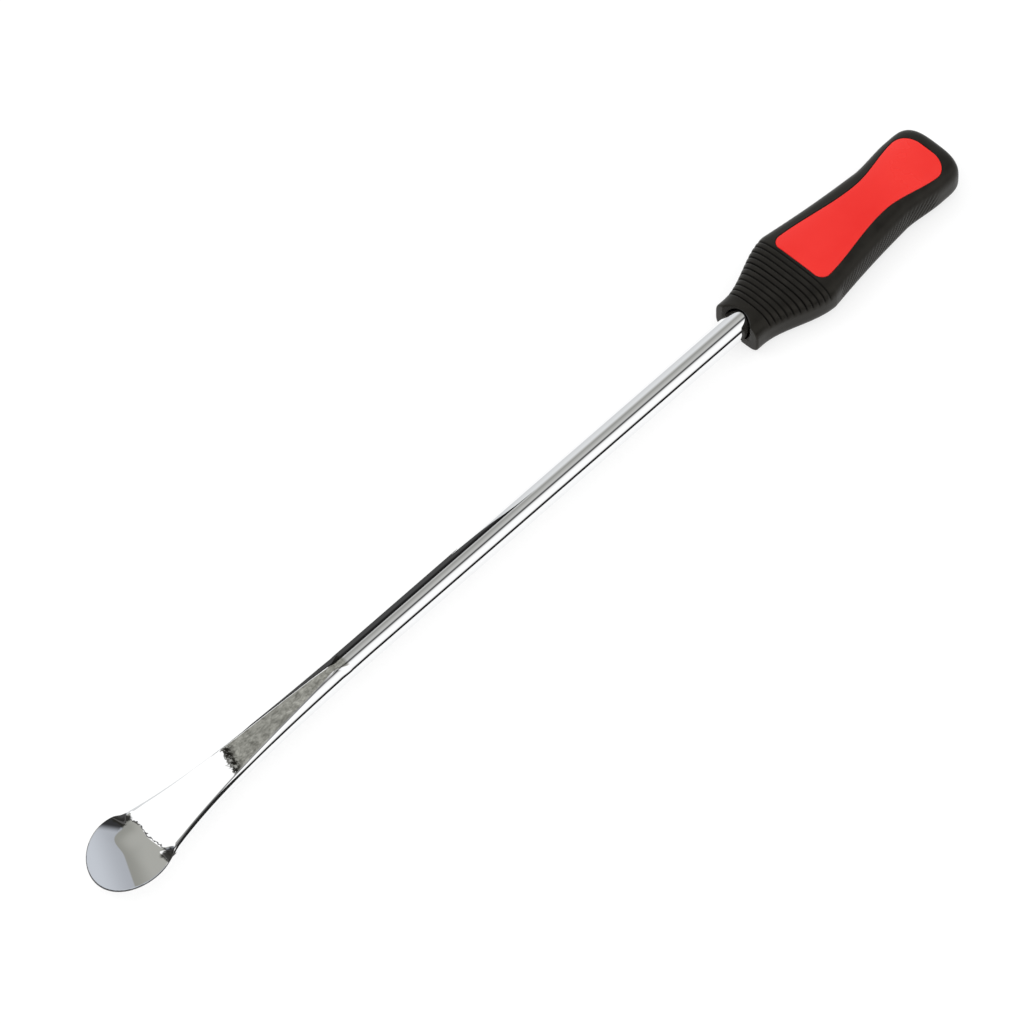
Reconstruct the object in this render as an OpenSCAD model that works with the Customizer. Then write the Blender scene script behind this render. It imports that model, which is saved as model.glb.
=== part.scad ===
// Tyre lever: a chrome-plated spoon bar with a moulded two-material handle.
// X runs from the spoon's tip to the butt, Z is up, and the lever lies on Z = 0.
// The origin is the centre of the bounding box's underside.

/* [Bar] */
// Length from the spoon's tip to the butt of the handle
overall_length = 410; // [395:1:430]
// Diameter of the round bar
bar_d = 10; // [9:0.5:10]
// Length of the forged end, from the tip to the full round
forged_length = 119; // [105:1:125]

/* [Spoon] */
// Width of the spoon
spoon_w = 28; // [26:0.2:30]
// Length of the spoon's oval
spoon_l = 31; // [29:0.5:33]
// Length of the curved lip
lip_length = 23; // [21:1:25]
// Height the upper face falls from the round bar to the lip
blade_fall = 3.5; // [3:0.1:3.6]
// Height the upper face falls again from the lip's start to the tip
lip_drop = 5.4; // [4.4:0.1:6]
// Length over which the blade's flare dies away
flare_fade = 33; // [28:1:38]
// Thickness at the start of the lip
blade_t = 3.2; // [3:0.1:4]
// Thickness at the tip
tip_t = 2.3; // [1.6:0.1:2.4]

/* [Handle] */
// Length of the handle
grip_length = 99; // [97:1:106]
// Widest place, at the shoulder behind the neck
shoulder_w = 34.4; // [32:0.2:36]
// Narrowest place, in the middle of the handle
waist_w = 24.6; // [23:0.2:27]
// Width of the flared butt
butt_w = 27.4; // [26:0.2:30]
// Width of the collar round the bar
collar_w = 20; // [18:0.2:21]
// Height of the collar round the bar
collar_h = 12.6; // [12:0.2:13]
// Height of the handle's body
grip_h = 14.8; // [14.6:0.1:17]
// Number of rings round the neck
ring_count = 10; // [6:1:12]
// Depth of the grooves between the rings
ring_depth = 0.5; // [0.2:0.1:0.7]

/* [Pads] */
// Distance from the collar's front to the pads
pad_start = 29.5; // [29:0.5:32]
// Length of the pads
pad_length = 64.5; // [60:0.5:65]
// Width of the pads near the shoulder
pad_front_w = 23.6; // [22:0.2:25]
// Width of the pads at the waist
pad_waist_w = 14.4; // [13:0.2:16]
// Width of the pads near the butt
pad_rear_w = 20.6; // [19:0.2:22]
// Depth cut off the lower pad's crown, so that the lever lies flat
land_depth = 0.15; // [0.1:0.05:0.2]

/* [Tang] */
// Length of the tang inside the handle, from the collar's front
tang_length = 80; // [74:1:84]
// Length of round bar inside the handle, before the tang is flattened
tang_round = 20; // [18:1:24]
// Width of the flattened tang
tang_w = 13; // [12:0.5:14]
// Thickness of the flattened tang
tang_t = 5; // [4.5:0.5:6]
// Pairs of notches in the tang's edges, which the plastic fills
notch_count = 3; // [2:1:4]

/* [Hidden] */

bar_r = bar_d / 2;
axis_z = grip_h / 2 - land_depth;
tip_x = -overall_length / 2;
butt_x = overall_length / 2;
grip_x = butt_x - grip_length;

// Corner shape of a rounded section: 2 is an ellipse, larger is squarer
bar_corner = 2;
lip_corner = 3;
collar_corner = 2.6;
grip_corner = 3;

neck_start = 2.5;
neck_end = 31;
waist_at = 71.5;
flare_at = 87;
butt_start = 89;
butt_corner = 2.8;
first_ring = 6.5;
last_ring = 28.5;
front_round = 1.2;

sleeve_wall = 3;
core_start = tang_round;
core_end = grip_length - 5;
core_h = 10.8;
bite_w = bar_d + 1;
neck_wall = 2.4;
bite_half = 6.2;
bite_depth = 2.9;
bite_steps = 16;
notch_r = 1.5;
pad_corner = 4;
pad_arc = 6.5;
pad_round = 2.4;
pad_tip = 1;
pad_root_z = 1;

// Points round a section, stations along a forged length and along the handle
section_points = 32;
lip_steps = 12;
blade_steps = 14;
body_steps = 9;
butt_steps = 9;
pad_steps = 24;
pad_points = 12;

function clamp01(t) = min(1, max(0, t));
function smooth(t) = let (c = clamp01(t)) c * c * (3 - 2 * c);
function mix(a, b, t) = a + (b - a) * t;
function ramp(x, a, b) = clamp01((x - a) / (b - a));
function signed_pow(v, p) = sign(v) * pow(abs(v), p);

// Height of a rounded section of half-width w and half-height h at the offset y
function crown(y, w, h, corner) = h * pow(1 - pow(min(1, abs(y) / w), corner), 1 / corner);

// One closed ring of points: a rounded section, flattened above z_flat
function section(x, w, up, down, corner, z_flat) = [
    for (i = [0 : section_points - 1])
        let (
            a = 360 * i / section_points,
            side = sin(a) > 0 ? up : down,
            y = w * signed_pow(cos(a), 2 / corner),
            z = side * signed_pow(sin(a), 2 / corner)
        )
        [x, y, axis_z + min(z, z_flat)]
];

// A closed solid through a list of rings with equal numbers of points
module loft(rings) {
    count = len(rings[0]);
    last = len(rings) - 1;
    points = [for (ring = rings) each ring];
    sides = [
        for (j = [0 : last - 1], i = [0 : count - 1])
            let (k = (i + 1) % count, a = j * count, b = a + count)
            each [[a + i, b + i, a + k], [a + k, b + i, b + k]]
    ];
    front = [[for (i = [0 : count - 1]) i]];
    back = [[for (i = [count - 1 : -1 : 0]) last * count + i]];
    polyhedron(points = points, faces = concat(front, sides, back));
}

// ---- Bar: s is the distance from the spoon's tip ----

function disc(s) = spoon_w / 2 * sqrt(1 - pow(2 * s / spoon_l - 1, 2));
function flare(s) =
    let (fade = exp(-(forged_length - lip_length) / flare_fade))
    mix(bar_r, disc(lip_length), (exp(-(s - lip_length) / flare_fade) - fade) / (1 - fade));
function blade_half(s) = s < lip_length ? disc(s) : flare(s);

lip_z = bar_r - blade_fall;
lip_radius = (lip_length * lip_length + lip_drop * lip_drop) / (2 * lip_drop);
function lip_fall(s) =
    lip_radius - sqrt(pow(lip_radius, 2) - pow(max(0, lip_length - s), 2));
function top_z(s) =
    lip_z + blade_fall * ramp(s, lip_length, forged_length) - lip_fall(s);

// The belly below the axis thins towards the lip, and then follows it down
function belly(s) =
    s > lip_length
        ? mix(blade_t - lip_z, bar_r, smooth(ramp(s, lip_length, forged_length * 0.6)))
        : mix(tip_t, blade_t, s / lip_length) - top_z(s);

function lip_section(s) =
    let (
        mid = top_z(s) - mix(tip_t, blade_t, ramp(s, 0, lip_length)) / 2,
        half_t = top_z(s) - mid,
        w = blade_half(s)
    )
    [for (p = section(tip_x + s, w, half_t, half_t, lip_corner, half_t)) [p.x, p.y, p.z + mid]];

function blade_section(s) =
    section(tip_x + s, blade_half(s), bar_r, belly(s), bar_corner, top_z(s));

lip_stations = [
    for (i = [0 : lip_steps])
        let (a = mix(8, 90, i / lip_steps)) lip_length * (1 - cos(a))
];
blade_stations = [
    for (i = [1 : blade_steps - 1])
        mix(lip_length, forged_length, pow(i / blade_steps, 1.2))
];

// The forged end runs a little way into the round bar, just under its surface
buried = bar_r * 0.995;
buried_end = section(tip_x + forged_length + 1, buried, buried, buried, bar_corner, buried);

module forged_end() {
    loft(concat(
        [for (s = lip_stations) lip_section(s)],
        [for (s = blade_stations) blade_section(s)],
        [buried_end]
    ));
}

module round_bar() {
    translate([tip_x + forged_length, 0, axis_z])
        rotate([0, 90, 0])
            cylinder(h = overall_length - forged_length - grip_length + tang_round, r = bar_r, $fn = 96);
}

// Flattened tang with notches in both edges
module tang() {
    translate([grip_x + tang_round, 0, axis_z - tang_t / 2])
        linear_extrude(tang_t)
            difference() {
                polygon([
                    [-2, -bar_r * 0.6],
                    [4, -tang_w / 2],
                    [tang_length - tang_round - 3, -tang_w / 2],
                    [tang_length - tang_round, -tang_w / 2 + 3],
                    [tang_length - tang_round, tang_w / 2 - 3],
                    [tang_length - tang_round - 3, tang_w / 2],
                    [4, tang_w / 2],
                    [-2, bar_r * 0.6]
                ]);
                for (i = [1 : notch_count], side = [-1, 1])
                    translate([
                        (tang_length - tang_round) * i / (notch_count + 1),
                        side * tang_w / 2
                    ])
                        circle(r = notch_r, $fn = 32);
            }
}

module lever_bar() {
    color([0.8, 0.81, 0.83]) {
        forged_end();
        round_bar();
        tang();
    }
}

// ---- Handle: g is the distance behind the collar's front ----

function grip_half(g) =
    g < neck_end ? mix(collar_w, shoulder_w, smooth(ramp(g, neck_start, neck_end))) / 2
    : g < waist_at
        ? let (t = ramp(g, neck_end, waist_at))
          mix(shoulder_w, waist_w, t + 0.1 * sin(180 * t)) / 2
        : mix(waist_w, butt_w, smooth(ramp(g, waist_at, flare_at))) / 2;
function grip_rise(g) = mix(collar_h, grip_h, smooth(ramp(g, neck_start, neck_end))) / 2;

// The butt closes along a rounded end
function butt_scale(g) =
    pow(1 - pow(ramp(g, butt_start, grip_length), butt_corner), 1 / butt_corner);
function grip_corner_at(g) = mix(collar_corner, grip_corner, smooth(ramp(g, neck_start, neck_end)));

// One ring of the handle's skin, sunk by a given depth
function grip_section(g, sunk) =
    let (
        w = grip_half(g) * butt_scale(g) - sunk,
        h = grip_rise(g) * mix(1, butt_scale(g), 0.75) - sunk
    )
    section(grip_x + g, w, h, h, grip_corner_at(g), h);

ring_pitch = (last_ring - first_ring) / ring_count;
skin_rings = concat(
    [
        grip_section(0, front_round),
        grip_section(front_round, 0),
        grip_section(neck_start, 0)
    ],
    [
        for (i = [0 : 2 * ring_count])
            grip_section(first_ring + i * ring_pitch / 2, i % 2 == 0 ? ring_depth : 0)
    ],
    [for (i = [0 : body_steps]) grip_section(mix(neck_end, waist_at, i / body_steps), 0)],
    [for (i = [1 : body_steps]) grip_section(mix(waist_at, butt_start, i / body_steps), 0)],
    [
        for (i = [1 : butt_steps])
            grip_section(mix(butt_start, grip_length, sin(86.5 * i / butt_steps)), 0)
    ]
);

// Half-width of a pad at t, which runs from 0 at its front to 1 at its rear
function pad_half(t) =
    let (
        waist_t = (waist_at - pad_start - 5) / pad_length,
        side = t < waist_t
            ? mix(pad_front_w, pad_waist_w, smooth(t / waist_t))
            : mix(pad_waist_w, pad_rear_w, smooth((t - waist_t) / (0.93 - waist_t))),
        front = ramp(pad_corner - t * pad_length, 0, pad_corner),
        rear = ramp(pad_arc - (1 - t) * pad_length, 0, pad_arc)
    )
    max(pad_tip, side / 2 * pow(1 - pow(rear, pad_round), 1 / pad_round)
        - pad_corner * (1 - sqrt(1 - pow(front, 2))));

// Stations bunched towards both ends, where the corners are rounded
function pad_t(i) = (1 - cos(180 * i / pad_steps)) / 2;
pad_edge = [for (i = [0 : pad_steps]) [grip_x + pad_start + pad_t(i) * pad_length, pad_half(pad_t(i))]];
pad_outline = concat(
    pad_edge,
    [for (i = [pad_steps : -1 : 0]) [pad_edge[i].x, -pad_edge[i].y]]
);

// A pad's cross-section, from its root inside the core up to the handle's skin
function pad_section(i) =
    let (
        x = pad_edge[i].x,
        half = pad_edge[i].y,
        g = x - grip_x,
        w = grip_half(g) * butt_scale(g),
        h = grip_rise(g) * mix(1, butt_scale(g), 0.75)
    )
    concat(
        [for (k = [0 : pad_points])
            let (y = mix(half, -half, k / pad_points))
            [x, y, crown(y, w, h, grip_corner_at(g))]],
        [[x, -half, pad_root_z], [x, half, pad_root_z]]
    );

module pad() {
    loft([for (i = [0 : pad_steps]) pad_section(i)]);
}

// Flat body of the core, which stays inside the sleeve
module core_body() {
    steps = 20;
    edge = [
        for (i = [0 : steps])
            let (g = mix(core_start, core_end, i / steps))
            [
                grip_x + g,
                grip_half(g) * butt_scale(g) - sleeve_wall
                    - neck_wall * (1 - smooth(ramp(g, core_start, neck_end + 4)))
            ]
    ];
    translate([0, 0, axis_z - core_h / 2])
        linear_extrude(core_h)
            polygon(concat(edge, [for (i = [steps : -1 : 0]) [edge[i].x, -edge[i].y]]));
}

// Everything below the plane that the lever lies on
module below_land() {
    translate([grip_x, -shoulder_w / 2, -1])
        cube([grip_length, shoulder_w, 1]);
}

module handle_core() {
    color([0.88, 0.12, 0.1])
        difference() {
            union() {
                core_body();
                translate([0, 0, axis_z]) pad();
                translate([0, 0, axis_z]) mirror([0, 0, 1]) pad();
            }
            tang();
            below_land();
        }
}

module grip_sleeve() {
    color([0.13, 0.13, 0.12])
        difference() {
            loft(skin_rings);
            core_body();
            below_land();
            translate([0, 0, -1]) linear_extrude(grip_h + 2) polygon(pad_outline);
            translate([grip_x - 1, 0, axis_z])
                rotate([0, 90, 0])
                    cylinder(h = tang_round + 1, r = bar_r, $fn = 96);
            // Arched bite in the collar's front, above and below the bar
            translate([grip_x, 0, axis_z - grip_h])
                linear_extrude(2 * grip_h)
                    polygon(concat(
                        [[-1, -bite_half], [-1, bite_half]],
                        [
                            for (i = [0 : bite_steps])
                                let (a = mix(90, -90, i / bite_steps))
                                [bite_depth * cos(a), bite_half * sin(a)]
                        ]
                    ));
        }
}

lever_bar();
handle_core();
grip_sleeve();
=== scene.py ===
from math import asin, cos, exp, pi, radians, sin

import bpy
import numpy as np
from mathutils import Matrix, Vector


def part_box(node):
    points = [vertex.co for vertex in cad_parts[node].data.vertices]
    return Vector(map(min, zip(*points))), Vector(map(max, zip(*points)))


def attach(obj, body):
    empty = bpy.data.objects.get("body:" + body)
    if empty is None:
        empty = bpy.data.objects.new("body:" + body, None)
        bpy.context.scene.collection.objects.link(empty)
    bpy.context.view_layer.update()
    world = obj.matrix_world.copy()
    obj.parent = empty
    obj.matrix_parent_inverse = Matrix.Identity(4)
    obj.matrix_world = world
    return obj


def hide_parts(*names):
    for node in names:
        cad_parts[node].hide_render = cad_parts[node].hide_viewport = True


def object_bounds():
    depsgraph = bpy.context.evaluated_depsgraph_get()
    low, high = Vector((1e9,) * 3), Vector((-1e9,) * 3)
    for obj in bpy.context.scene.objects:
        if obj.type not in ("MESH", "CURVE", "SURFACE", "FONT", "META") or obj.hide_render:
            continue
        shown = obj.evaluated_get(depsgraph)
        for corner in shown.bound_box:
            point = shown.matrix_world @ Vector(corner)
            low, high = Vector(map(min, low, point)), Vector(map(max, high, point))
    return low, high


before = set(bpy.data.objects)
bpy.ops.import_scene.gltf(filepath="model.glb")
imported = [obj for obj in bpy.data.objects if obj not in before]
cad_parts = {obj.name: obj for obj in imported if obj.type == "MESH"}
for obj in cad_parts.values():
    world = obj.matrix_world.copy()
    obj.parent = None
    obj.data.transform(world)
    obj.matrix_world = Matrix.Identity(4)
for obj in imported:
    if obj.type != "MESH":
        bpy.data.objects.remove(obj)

bl_info = {
    "name": "Tyre Lever",
    "version": (1, 0, 0),
    "blender": (4, 5, 0),
    "location": "View3D > Sidebar > Tyre Lever",
    "description": "Chrome spoon lever with a red and black moulded handle, on a studio floor",
    "category": "Object",
}

MM = 0.001
CAD_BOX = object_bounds()
BODY = "root"
TIP_X = CAD_BOX[0].x
BUTT_X = -TIP_X
GRIP_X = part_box("grip_sleeve")[0].x

# Spacing of a tube's rings while it is being drawn out, before it is shaped
DRAW_STEP = 0.01
# Corners closer than this are merged
DOUBLES = 1e-6


def mm(*values):
    """Millimetres as metres."""
    return tuple(value * MM for value in values)


def length(label, about, value):
    """A size, given in millimetres and shown in the sidebar."""
    return bpy.props.FloatProperty(
        name=label, description=about, default=value * MM, min=0, unit="LENGTH", subtype="DISTANCE")


def colour(label, about, value):
    """A colour, shown in the sidebar."""
    return bpy.props.FloatVectorProperty(
        name=label, description=about, default=value, size=3, min=0, max=1, subtype="COLOR")


class LEVER_PG_bar(bpy.types.PropertyGroup):
    """Sizes of the forged chrome bar."""

    radius: length("Bar radius", "Radius of the round bar", 5)
    forged: length("Forged length", "From the tip to the full round", 119)
    spoon_w: length("Spoon width", "Width of the spoon", 28)
    spoon_l: length("Spoon length", "Length of the spoon's oval", 31)
    lip: length("Lip length", "Length of the curved lip", 23)
    blade_fall: length("Blade fall", "Fall of the upper face from the bar to the lip", 3.3)
    lip_drop: length("Lip drop", "Fall of the lip from its start to the tip", 4.7)
    flare_fade: length("Flare fade", "Length over which the flare dies away", 33)
    blade_t: length("Blade thickness", "Thickness at the start of the lip", 3.2)
    tip_t: length("Tip thickness", "Thickness at the tip", 2.3)
    chamfer: length("Chamfer", "Softness of the edges of the upper face", 0.12)


class LEVER_PG_grip(bpy.types.PropertyGroup):
    """Sizes of the black sleeve."""

    long: length("Handle length", "From the collar's front to the butt", 99)
    shoulder_w: length("Shoulder width", "Widest place, behind the neck", 34.4)
    waist_w: length("Waist width", "Narrowest place", 25)
    butt_w: length("Butt width", "Width of the flared butt", 27.4)
    collar_w: length("Collar width", "Width of the collar", 19.3)
    collar_h: length("Collar height", "Height of the collar's upper half, doubled", 12.4)
    belly_h: length("Collar belly", "Height of the collar's lower half, doubled", 14.5)
    high: length("Handle height", "Height of the handle's body", 14.8)
    land: length("Land depth", "Depth cut off the lower crown", 0.15)
    ring_depth: length("Ring depth", "Depth of the grooves round the neck", 0.58)
    rings: bpy.props.IntProperty(name="Rings", description="Rings round the neck", default=10, min=1)
    rib_depth: length("Rib depth", "Depth of the grooves along the sides", 0.42)
    rib_pitch: length("Rib pitch", "Distance from rib to rib", 2.1)


class LEVER_PG_pad(bpy.types.PropertyGroup):
    """Sizes of the red pads."""

    start: length("Pad start", "From the collar's front to the pads", 29.5)
    long: length("Pad length", "Length of the pads", 64.5)
    front_w: length("Front width", "Width near the shoulder", 23.6)
    waist_w: length("Waist width", "Width at the waist", 14.4)
    rear_w: length("Rear width", "Width near the butt", 21.2)
    seam: length("Seam", "Gap between a pad and the sleeve", 0.12)


class LEVER_PG_finish(bpy.types.PropertyGroup):
    """Colours of the finishes."""

    plate: colour("Plating", "Chrome plating", (0.9, 0.905, 0.91))
    red: colour("Red", "Red moulded core", (0.77, 0.012, 0.008))
    black: colour("Black", "Black rubber sleeve", (0.0065, 0.006, 0.005))


def sizes(group):
    """The settings of the bar, the grip, the pads or the finish."""
    return getattr(bpy.context.scene, "lever_" + group)


# ---- Curves that more than one piece follows ----

def mix(a, b, t):
    return a + (b - a) * t


def ramp(x, a, b):
    return np.clip((x - a) / (b - a), 0, 1)


def smooth(t):
    return t * t * (3 - 2 * t)


def eased(x, a, b):
    return smooth(ramp(x, a, b))


NECK_START, NECK_END = mm(3.5, 31)
WAIST_AT, FLARE_AT = mm(71.5, 87)
# How far the sides bow in before the waist, and the share of the butt's rounding its height takes
WAIST_BOW, BUTT_FALL = 0.1, 0.75
BUTT_START, BUTT_CORNER = 89 * MM, 3.6
# Squareness of the handle's section at the collar and at the grip, above and below the axis
UPPER_COLLAR, UPPER_GRIP, LOWER_COLLAR, LOWER_GRIP = 2.4, 3.3, 5.5, 4.3
FIRST_RING, LAST_RING = mm(6.5, 28.5)


def axis_height():
    """Height of the bar's axis above the floor."""
    grip = sizes("grip")
    return grip.high / 2 - grip.land


def grip_half(g):
    """Half-width of the handle, g behind the collar's front."""
    s = sizes("grip")
    neck = mix(s.collar_w, s.shoulder_w, eased(g, NECK_START, NECK_END)) / 2
    t = ramp(g, NECK_END, WAIST_AT)
    body = mix(s.shoulder_w, s.waist_w, t + WAIST_BOW * np.sin(pi * t)) / 2
    rear = mix(s.waist_w, s.butt_w, eased(g, WAIST_AT, FLARE_AT)) / 2
    return np.where(g < NECK_END, neck, np.where(g < WAIST_AT, body, rear))


def butt_scale(g):
    t = ramp(g, BUTT_START, sizes("grip").long)
    return np.maximum(0, 1 - t ** BUTT_CORNER) ** (1 / BUTT_CORNER)


def grip_outline(g, below=False):
    """Half-width, half-height and squareness of the handle's section, above or below the axis."""
    s = sizes("grip")
    turn = eased(g, NECK_START, NECK_END)
    wide = grip_half(g) * butt_scale(g)
    high = mix(s.belly_h if below else s.collar_h, s.high, turn) / 2 * mix(1, butt_scale(g), BUTT_FALL)
    squareness = mix(LOWER_COLLAR, LOWER_GRIP, turn) if below else mix(UPPER_COLLAR, UPPER_GRIP, turn)
    return wide, high, squareness


def crown(y, wide, high, corner):
    """Height of the handle's skin above the axis, y from the middle."""
    y = np.minimum(1, np.abs(y) / np.maximum(wide, 1e-6))
    return high * (1 - y ** corner) ** (1 / corner)


# Rounding of the pads' front corners and of their rear, and their least half-width
PAD_CORNER, PAD_ARC, PAD_ROUND, PAD_TIP = 4 * MM, 6.5 * MM, 2.4, 1 * MM
# How far the pads' waist lies before the handle's, and where along them the rear width is reached
PAD_LEAD, PAD_REAR_AT = 5 * MM, 0.93
EDGE_POINTS, END_POINTS = 500, 40
# How many skin points are compared with the window's edge at a time
RIM_BATCH = 2000


def pad_half(g):
    """Half-width of a pad's window in the sleeve."""
    s = sizes("pad")
    t = ramp(g, s.start, s.start + s.long)
    waist = (WAIST_AT - s.start - PAD_LEAD) / s.long
    front = mix(s.front_w, s.waist_w, smooth(np.clip(t / waist, 0, 1)))
    rear = mix(s.waist_w, s.rear_w, smooth(np.clip((t - waist) / (PAD_REAR_AT - waist), 0, 1)))
    side = np.where(t < waist, front, rear) / 2
    nose = ramp(PAD_CORNER - t * s.long, 0, PAD_CORNER)
    tail = ramp(PAD_ARC - (1 - t) * s.long, 0, PAD_ARC)
    half = side * np.maximum(0, 1 - tail ** PAD_ROUND) ** (1 / PAD_ROUND)
    return np.maximum(PAD_TIP, half - PAD_CORNER * (1 - np.sqrt(np.maximum(0, 1 - nose ** 2))))


def pad_edge():
    """Points along the window's outline, as distances behind the collar and from the middle."""
    s = sizes("pad")
    t = (1 - np.cos(np.linspace(0, pi, EDGE_POINTS))) / 2
    g = s.start + t * s.long
    y = pad_half(g)
    across = np.linspace(0, 1, END_POINTS)
    nose, tail = (np.stack([np.full(END_POINTS, g[k]), across * y[k]], 1) for k in (0, -1))
    return np.concatenate([np.stack([g, y], 1), nose, tail])


def rim_drop(g, y, edge, radius):
    """How far the skin rolls down beside the window's edge."""
    drop = np.zeros_like(g)
    near = np.where((g > edge[:, 0].min() - radius) & (g < edge[:, 0].max() + radius))[0]
    for part in np.array_split(near, max(1, len(near) // RIM_BATCH)):
        away = np.hypot(g[part, None] - edge[None, :, 0], np.abs(y[part, None]) - edge[None, :, 1])
        left = np.maximum(0, radius - away.min(1))
        drop[part] = radius - np.sqrt(np.maximum(0, radius ** 2 - left ** 2))
    return drop


# ---- Making meshes ----

def deselect_all():
    for ob in bpy.context.selected_objects:
        ob.select_set(False)


def pick(piece):
    """Selects one piece alone and makes it the active one."""
    deselect_all()
    piece.select_set(True)
    bpy.context.view_layer.objects.active = piece


def drawn_tube(name, rings, points):
    """A filled circle drawn out along X by repeated extrusion, closed at both ends."""
    deselect_all()
    bpy.ops.mesh.primitive_circle_add(
        vertices=points, radius=DRAW_STEP, fill_type="NGON", rotation=(0, pi / 2, 0))
    piece = bpy.context.object
    piece.name = piece.data.name = name
    bpy.ops.object.transform_apply(location=True, rotation=True, scale=True)
    bpy.ops.object.mode_set(mode="EDIT")
    bpy.ops.mesh.select_all(action="SELECT")
    bpy.ops.mesh.extrude_repeat(steps=rings - 1, offset=(DRAW_STEP, 0, 0))
    bpy.ops.object.mode_set(mode="OBJECT")
    return piece


def shaped_tube(name, shape):
    """A drawn tube whose rings are set to the given places, a grid of ring by point by XYZ."""
    rings, points = shape.shape[:2]
    piece = drawn_tube(name, rings, points)
    count = len(piece.data.vertices)
    co = np.zeros(count * 3)
    piece.data.vertices.foreach_get("co", co)
    co = co.reshape(-1, 3)
    j = np.rint(co[:, 0] / DRAW_STEP).astype(int)
    i = np.rint(np.arctan2(co[:, 2], co[:, 1]) / (2 * pi) * points).astype(int) % points
    if count != rings * points:
        raise RuntimeError(f"{name} has {count} corners, not {rings * points}")
    piece.data.vertices.foreach_set("co", shape[j, i].ravel())
    piece.data.update()
    return piece, j, i


def marked_tube(name, shape, marks):
    """A shaped tube that carries named values, one per ring and point."""
    piece, j, i = shaped_tube(name, shape)
    for label, values in marks.items():
        piece.data.attributes.new(label, "FLOAT", "POINT").data.foreach_set("value", values[j, i])
    return piece


def tidy_mesh(piece):
    """Merges doubles and turns every face outward."""
    pick(piece)
    bpy.ops.object.mode_set(mode="EDIT")
    bpy.ops.mesh.select_all(action="SELECT")
    bpy.ops.mesh.remove_doubles(threshold=DOUBLES)
    bpy.ops.mesh.normals_make_consistent(inside=False)
    bpy.ops.object.mode_set(mode="OBJECT")


def smoothed(piece, angle):
    """Shades a piece smooth, with creases sharper than the angle in degrees."""
    pick(piece)
    bpy.ops.object.shade_smooth_by_angle(angle=radians(angle))


def carve(piece, cutter):
    """Cuts the cutter's shape out of a piece, and removes the cutter."""
    pick(piece)
    cut = piece.modifiers.new("carve", "BOOLEAN")
    cut.operation, cut.object, cut.solver = "DIFFERENCE", cutter, "MANIFOLD"
    bpy.ops.object.modifier_apply(modifier=cut.name)
    bpy.data.objects.remove(cutter)


def finish_piece(piece, replaced, material):
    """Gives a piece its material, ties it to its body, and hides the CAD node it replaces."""
    piece.data.materials.clear()
    piece.data.materials.append(material)
    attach(piece, BODY)
    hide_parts(replaced)


# ---- Chrome bar: s is the distance from the spoon's tip ----

BAR_POINTS = 128
LIP_RINGS, BLADE_RINGS, BAR_RINGS, TANG_RINGS = 60, 90, 26, 121
# The first ring's place on the quarter turn by which the lip's rings are spaced
TIP_TURN = radians(1.5)
TANG_ROUND, TANG_LONG = mm(20, 80)
TANG_W, TANG_T = mm(13, 5)
TANG_TURN, TANG_TAPER, TANG_CORNER = 4 * MM, 3 * MM, 1 / 3
TANG_NOTCH, TANG_NOTCHES = 1.5 * MM, 3
# Where the torn dark line at the lip's start lies, measured from the tip; the line is painted, partly a
# forging mark and partly dark reflection
BEND_LINE = 23.2 * MM
# The lip's corner, wall and bevel, and the width of the painted dark reflection line round its rim
LIP_CORNER, LIP_WALL, LIP_UNDER, RIM_LINE = mm(0.35, 0.55, 2.1, 0.22)
# The lip's plate passes into the blade from this far before the bend to this far behind it
LIP_BEFORE, LIP_BEHIND = mm(2.5, 3.5)
# Where the belly reaches the bar's radius, as a share of the forged length
BELLY_END = 0.6
# The flat's edges: the most they turn round the bar, and the least turn below the bevel and over it
EDGE_CAP, EDGE_ROOM, EDGE_LEAST = radians(76), 0.12, 0.05
# Shares of a quarter turn's points at which the bevel starts and ends, and where its dark line, a painted
# dark reflection, starts
BEVEL_FROM, BEVEL_TO, LINE_FROM = 0.42, 0.6, 0.46
LINE_LEVEL = 0.9
# Before the full round: where the flat's soft edges, the painted dark reflection line and the gathered
# points end
SOFT_END, LINE_END, LINE_FADE, EVEN_END = mm(8, 4, 12, 6)


def spoon_disc(s):
    """Half-width of the spoon's oval."""
    b = sizes("bar")
    return b.spoon_w / 2 * np.sqrt(np.maximum(0, 1 - (2 * s / b.spoon_l - 1) ** 2))


def blade_half(s):
    """Half-width of the forged end, from the spoon's oval to the bar."""
    b = sizes("bar")
    fade = exp(-(b.forged - b.lip) / b.flare_fade)
    fall = (np.exp(-(s - b.lip) / b.flare_fade) - fade) / (1 - fade)
    return np.where(s < b.lip, spoon_disc(s), mix(b.radius, spoon_disc(b.lip), np.clip(fall, 0, 1)))


# The spoon's dish: its depth at the full width, and where it fades out along the blade
DISH_DEEP, DISH_END = mm(0.6, 75)
# Where the lip's bend starts a little earlier: the middle and half-width of that place
BULGE_LONG, BULGE_AT, BULGE_HALF = mm(1.9, 5, 6.5)
BEND_EARLY, EARLY_FROM, EARLY_TO = mm(0.9, 10, 1)


def bend_fall(reach):
    """Fall of the lip below the blade's slope, at a distance beyond the bend's start."""
    b = sizes("bar")
    drop = b.lip_drop - b.blade_fall * b.lip / (b.forged - b.lip)
    bend = (b.lip ** 2 + drop ** 2) / (2 * drop)
    return bend - np.sqrt(bend ** 2 - np.maximum(0, reach) ** 2)


def top_height(s):
    """Height of the middle of the upper face above the bar's axis."""
    b = sizes("bar")
    slope = b.blade_fall / (b.forged - b.lip)
    return b.radius - slope * np.maximum(0, b.forged - s) - bend_fall(b.lip - s)


def bulge(y):
    """How much earlier the lip's bend starts, across the blade."""
    return BEND_EARLY + BULGE_LONG * smooth(np.clip(1 - np.abs(y - BULGE_AT) / BULGE_HALF, 0, 1))


def top_lift(s, y):
    """How far the upper face stands above its middle: the dish, less the early start of the bend."""
    b = sizes("bar")
    dish = DISH_DEEP * (1 - float(eased(s, b.lip, DISH_END))) * (2 * y / b.spoon_w) ** 2
    early = bulge(y) * float(eased(s, b.lip - EARLY_FROM, b.lip - EARLY_TO))
    return dish - bend_fall(b.lip + early - s) + bend_fall(b.lip - s)


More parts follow.
